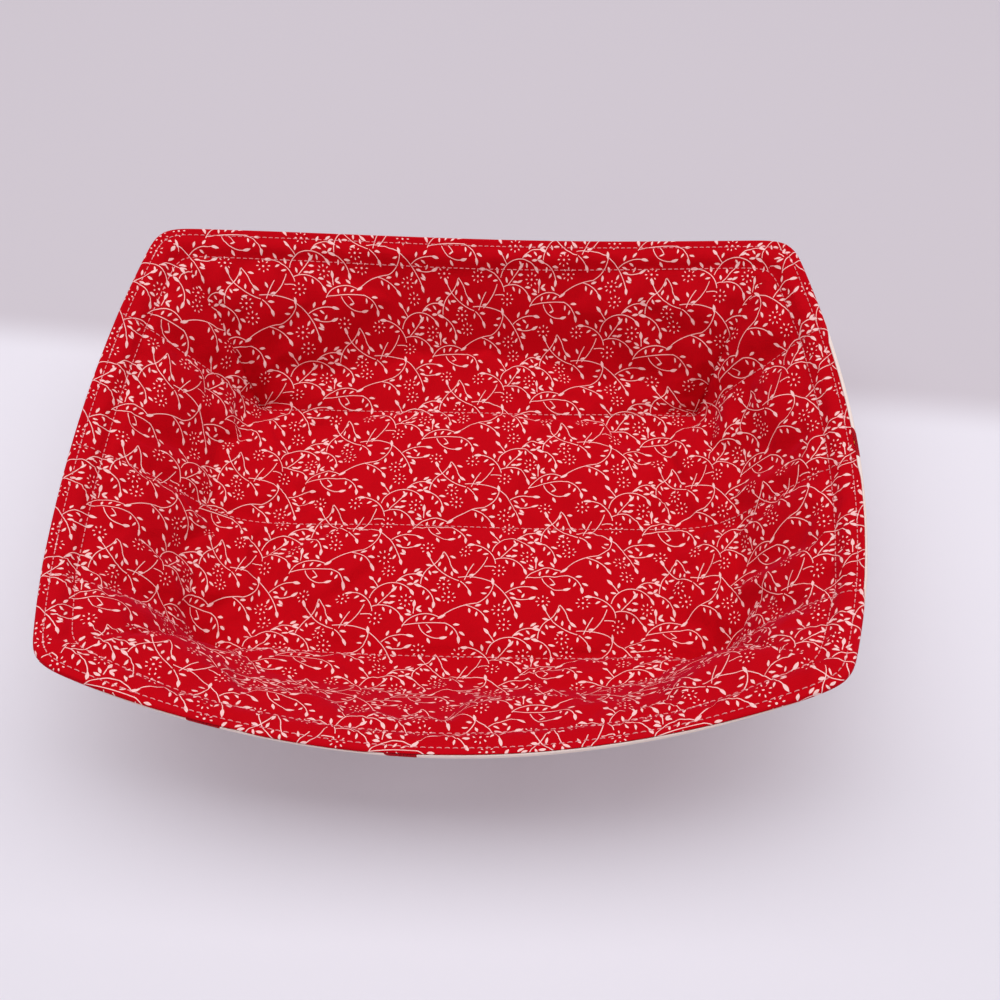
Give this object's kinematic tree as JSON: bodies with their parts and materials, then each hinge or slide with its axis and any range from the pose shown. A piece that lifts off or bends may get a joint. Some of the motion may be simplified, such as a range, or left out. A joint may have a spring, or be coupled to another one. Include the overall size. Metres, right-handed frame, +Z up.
{
  "type": "microwave container cozy",
  "caption": "Quilted fabric cozy: a padded, darted tray with flaring walls and a dipping rim that holds and carries a hot rectangular container.",
  "frame": {"origin": "centre of the overall box at the underside that rests on the table", "axes": "+Z up, +X along the long sides to the right as seen in the picture, -Y towards the picture's viewer"},
  "size_m": [0.3204, 0.265, 0.0744],
  "materials": {
    "lining_cotton": "matte printed cotton",
    "outer_cotton": "matte printed cotton",
    "cotton_batting": "soft needled wadding",
    "lining_thread": "spun thread",
    "outer_thread": "spun thread"
  },
  "bodies": {
    "root": {"lining_panel": "lining_cotton", "lining_batting": "cotton_batting", "outer_batting": "cotton_batting", "outer_panel": "outer_cotton", "lining_quilting_thread_back": "lining_thread", "lining_quilting_thread_middle": "lining_thread", "lining_quilting_thread_front": "lining_thread", "outer_quilting_thread_back": "outer_thread", "outer_quilting_thread_middle": "outer_thread", "outer_quilting_thread_front": "outer_thread", "lining_dart_thread_back_right": "lining_thread", "lining_dart_thread_back_left": "lining_thread", "lining_dart_thread_front_left": "lining_thread", "lining_dart_thread_front_right": "lining_thread", "outer_dart_thread_back_right": "outer_thread", "outer_dart_thread_back_left": "outer_thread", "outer_dart_thread_front_left": "outer_thread", "outer_dart_thread_front_right": "outer_thread", "rim_seam_thread": "outer_thread", "edge_topstitch_needle_thread": "lining_thread", "edge_topstitch_bobbin_thread": "outer_thread", "second_row_needle_thread": "lining_thread", "second_row_bobbin_thread": "outer_thread"}
  },
  "joints": []
}
